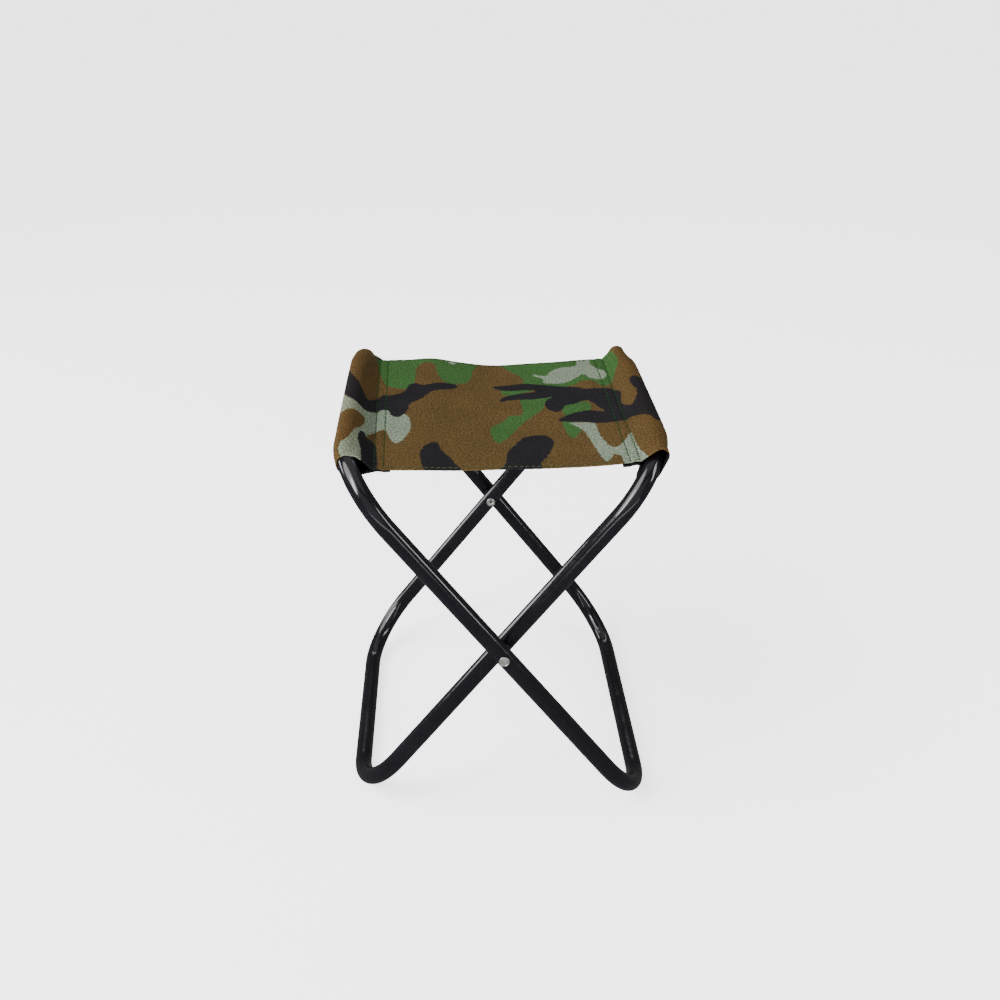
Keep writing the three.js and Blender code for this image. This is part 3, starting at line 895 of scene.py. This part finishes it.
def hem_row(end):
    """Stitches along the front or rear hem, along X."""
    made = []
    y = end * (SEAT_HALF_DEPTH - HEM_ROW)
    for k, x in enumerate(np.arange(-FLAP_TIP, FLAP_TIP, STITCH_PITCH)):
        slope = float(panel_height(x + MM, y) - panel_height(x - MM, y)) / (2 * MM)
        sway = 0.1 * MM * math.sin(1.9 * k)
        made.append(stitch((x, y + sway, float(panel_height(x, y))), (1, 0, slope)))
    return made


def loose_end(start, steps):
    """A cut thread end, from a start point by steps in millimetres."""
    path = [np.array(start)]
    for step in steps:
        path.append(path[-1] + np.array(step) * MM)
    fine = []
    for a, b in zip(path, path[1:]):
        fine.extend([a, 0.5 * (a + b)])
    fine.append(path[-1])
    return tube_geometry(fine, [LOOSE_END_R] * len(fine), 6)


def thread_piece(name, parts, look, node):
    """Stitches and loose ends as one piece, in place of a CAD node."""
    points, faces = joined(parts)
    piece = mesh_object(name, points, faces, [look])
    follow_fold(piece)
    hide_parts(node)
    return piece


def on_panel(x, y):
    """Where a thread comes up through the panel."""
    return (x, y, float(panel_height(x, y)) + 0.2 * MM)


front_end, rear_end = -SEAT_HALF_DEPTH + 2 * MM, SEAT_HALF_DEPTH - 2 * MM
# By thread: where each loose end starts (x, y) and its steps in millimetres.
LOOSE_ENDS = {
    "left_seam_thread_outer": [
        ((-SEAM_OUTER, rear_end), [(-0.6, 1.2, 0.9), (0.3, 1.4, 1.1), (0.8, 0.6, 1.0)]),
        ((-SEAM_OUTER, front_end), [(0.8, -1, 0.5), (1.2, -0.6, -0.2), (1.4, 0.5, 0.1)]),
    ],
    "left_seam_thread_inner": [
        ((-SEAM_INNER, rear_end), [(0.4, 1.3, 0.8), (-0.3, 1.2, 1.2)]),
    ],
    "right_seam_thread_inner": [
        ((SEAM_INNER, rear_end), [(-0.3, 0.8, 1.2), (-0.4, 0.9, 1.6), (0.3, 0.3, 1.3)]),
        ((SEAM_INNER, front_end), [(0.9, -1.3, 0.2), (1.6, -0.6, -0.5), (1.5, 0.4, 0.4)]),
    ],
    "right_seam_thread_outer": [
        ((SEAM_OUTER, front_end), [(-1, -1.2, 0.3), (-1.6, -0.4, -0.4), (-1.7, 0.8, 0.6)]),
    ],
}

for side_name, side in (("left", -1), ("right", 1)):
    for row_name, distance in (("outer", SEAM_OUTER), ("inner", SEAM_INNER)):
        node_name = f"{side_name}_seam_thread_{row_name}"
        name = f"{side_name}_{row_name}_seam_stitches"
        stitches = seam_row(side, distance)
        stitches += [loose_end(on_panel(*start), steps) for start, steps in LOOSE_ENDS[node_name]]
        thread_piece(name, stitches, GREEN_THREAD, node_name)
for end_name, end in (("front", -1), ("rear", 1)):
    name, node_name = f"{end_name}_hem_stitches", f"{end_name}_hem_thread"
    thread_piece(name, hem_row(end), OLIVE_THREAD, node_name)

# ---- studio ------------------------------------------------------------------------


def studio_floor():
    """A pale floor that glows, so that it stays near white round the black tubes."""
    nodes = Nodes("studio_floor")
    faint = nodes.noise(object_point(nodes), 3, 2, 0.5)
    colour = nodes.mix(faint, (0.91, 0.91, 0.91, 1), (0.94, 0.94, 0.94, 1))
    look = nodes.surface({
        "Base Color": colour, "Roughness": 0.9, "Specular IOR Level": 0.1,
        "Emission Color": (1, 1, 1, 1), "Emission Strength": 2.2,
    })
    size = 40
    corners = [(-size, -size, 0), (size, -size, 0), (size, size, 0), (-size, size, 0)]
    floor = mesh_object("studio_floor", corners, [(0, 1, 2, 3)], [look])
    # As on a product table, the gloss black tubes mirror dark surroundings.
    floor.visible_glossy = False


def aimed(lamp, place, target):
    """Puts a lamp in the scene, pointing at a target."""
    lamp.location = place
    lamp.rotation_mode = "QUATERNION"
    lamp.rotation_quaternion = (Vector(target) - Vector(place)).to_track_quat("-Z", "Y")
    bpy.context.scene.collection.objects.link(lamp)


def softbox(name, place, size, power):
    """A rectangular lamp aimed at the middle of the stool."""
    data = bpy.data.lights.new(name, "AREA")
    data.shape = "RECTANGLE"
    data.size, data.size_y = size
    data.energy = power
    aimed(bpy.data.objects.new(name, data), place, (0, 0, 0.2))


def studio_light():
    """Soft light from the upper left, and cards that draw highlights along the tubes."""
    world = bpy.data.worlds.new("studio")
    world.use_nodes = True
    background = world.node_tree.nodes["Background"]
    background.inputs["Color"].default_value = (1, 1, 1, 1)
    background.inputs["Strength"].default_value = 0.12
    bpy.context.scene.world = world
    data = bpy.data.lights.new("overhead_bank", "SUN")
    data.energy = 3.9
    data.angle = math.radians(50)
    aimed(bpy.data.objects.new("overhead_bank", data), (-1.5, -0.5, 1.7), (0, 0, 0))
    softbox("left_softbox", (-0.9, -0.7, 1.1), (0.3, 0.8), 14)
    softbox("right_softbox", (1.3, -0.5, 0.9), (0.25, 1.0), 9)
    softbox("left_strip", (-1.6, 0.6, 0.55), (0.9, 0.35), 9)
    softbox("front_strip", (0.1, -1.7, 0.32), (2.2, 0.16), 5)
    softbox("rear_strip", (0.2, 1.5, 1.5), (2.0, 0.2), 4)
    softbox("front_card", (0, -2.6, 1.9), (4, 2.2), 9)
    softbox("ceiling_card", (0, 0.4, 2.8), (3, 3), 16)


def photographer():
    """The photograph's camera, fitted to the tubes' outlines."""
    data = bpy.data.cameras.new("camera")
    data.lens = 40.39
    data.sensor_width = 36
    camera = bpy.data.objects.new("camera", data)
    right = Vector((0.998884, -0.045914, 0.010760))
    up = Vector((0.011013, 0.449030, 0.893449))
    back = Vector((-0.045848, -0.892332, 0.449036))
    turn = Matrix((right, up, back)).transposed()
    camera.rotation_mode = "QUATERNION"
    camera.rotation_quaternion = turn.to_quaternion()
    camera.location = (-0.0432, -0.9007, 0.6877)
    bpy.context.scene.collection.objects.link(camera)
    bpy.context.scene.camera = camera


studio_floor()
studio_light()
photographer()
